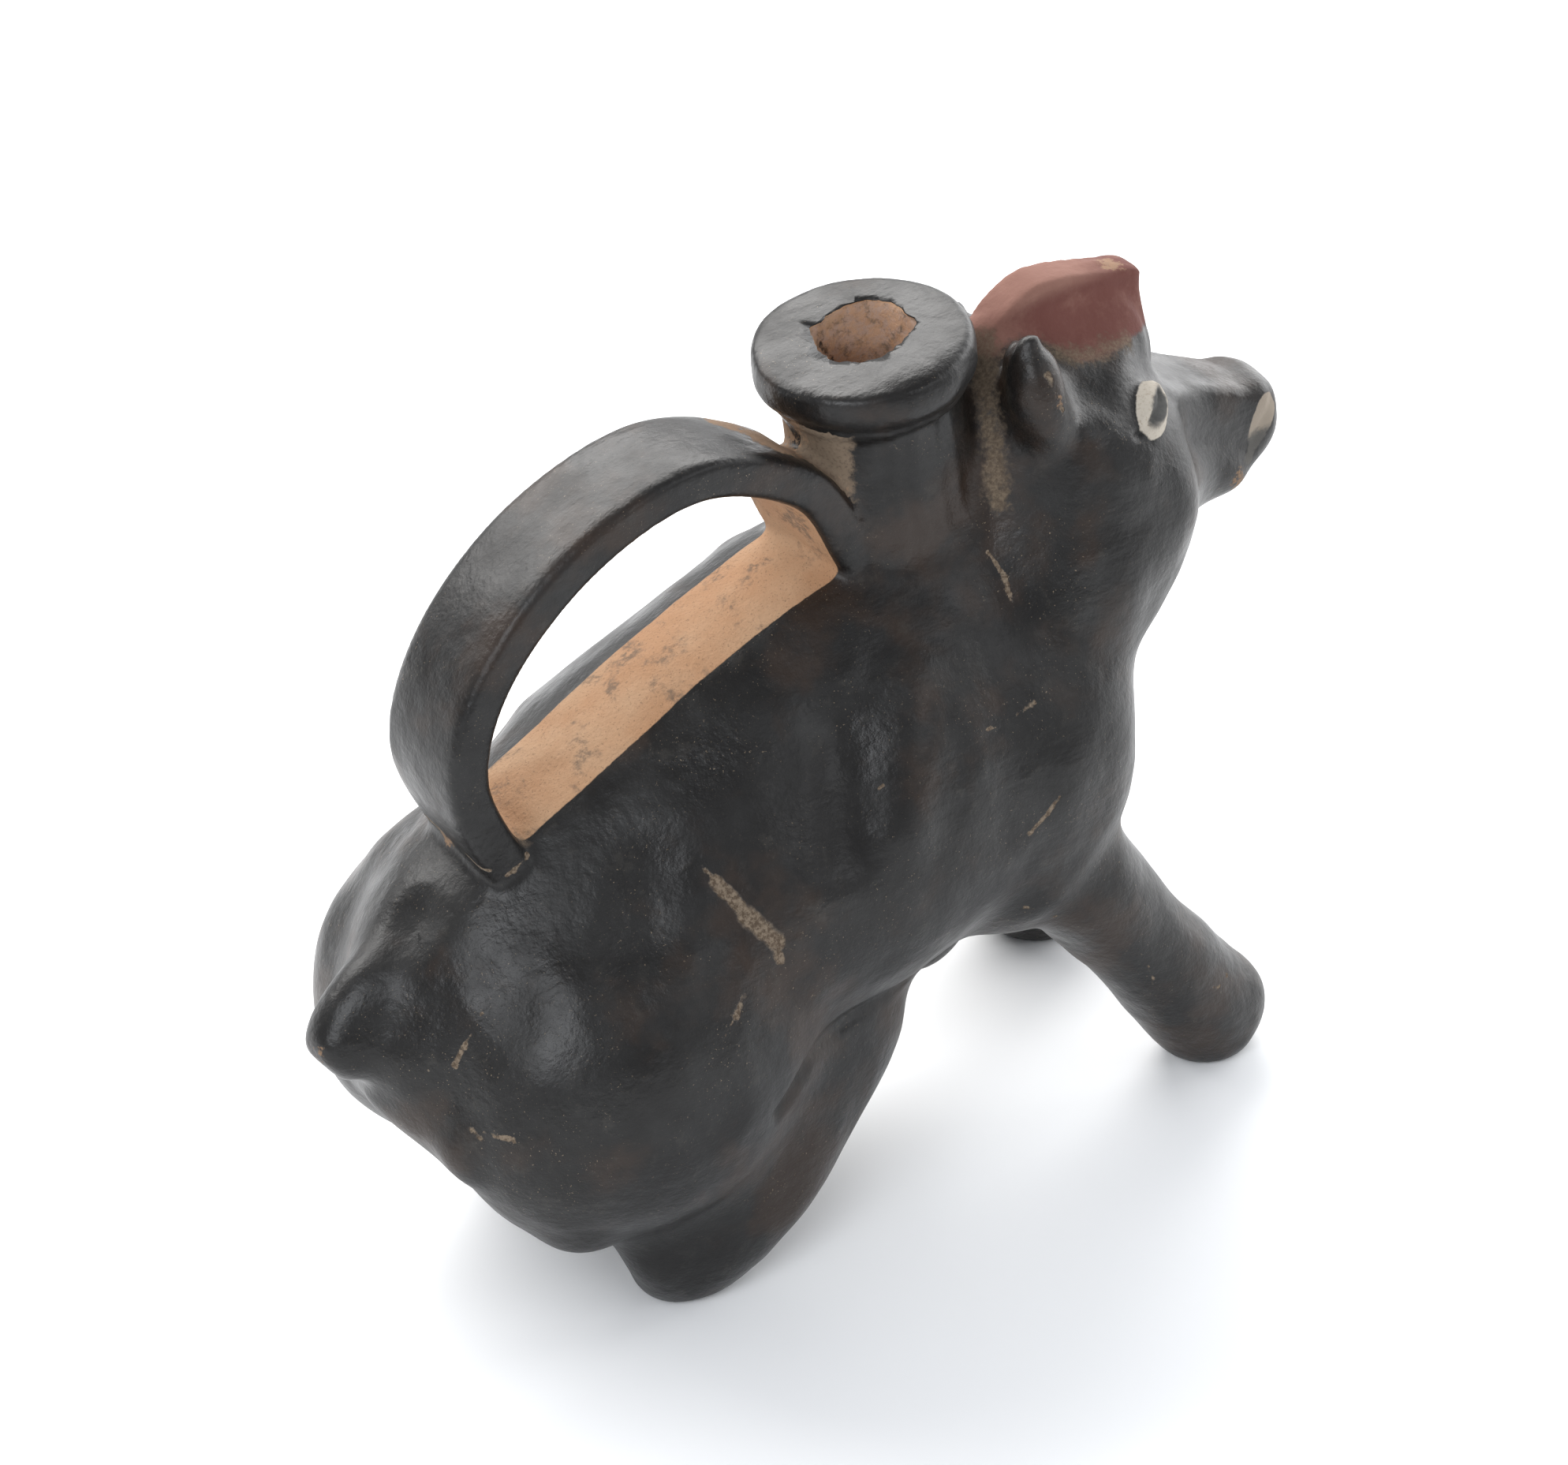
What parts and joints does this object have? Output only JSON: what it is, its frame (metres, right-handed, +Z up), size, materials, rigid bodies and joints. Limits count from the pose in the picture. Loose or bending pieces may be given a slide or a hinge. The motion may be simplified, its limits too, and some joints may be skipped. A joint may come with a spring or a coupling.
{
  "type": "animal-shaped askos",
  "caption": "Hollow fired-clay pouring vessel in the form of a standing bear-like animal, with a ringed spout on its neck and a strap handle arched over its back.",
  "frame": {"origin": "middle of the footprint's bounding box, on the plane the feet stand on", "axes": "+X towards the animal's snout, +Y to its left, +Z up"},
  "size_m": [0.2266, 0.0974, 0.1751],
  "materials": {
    "black_slip": "satin black slip over fired clay, worn and scratched, with a bare tan band under the handle"
  },
  "bodies": {
    "root": {"askos": "black_slip"}
  },
  "joints": []
}
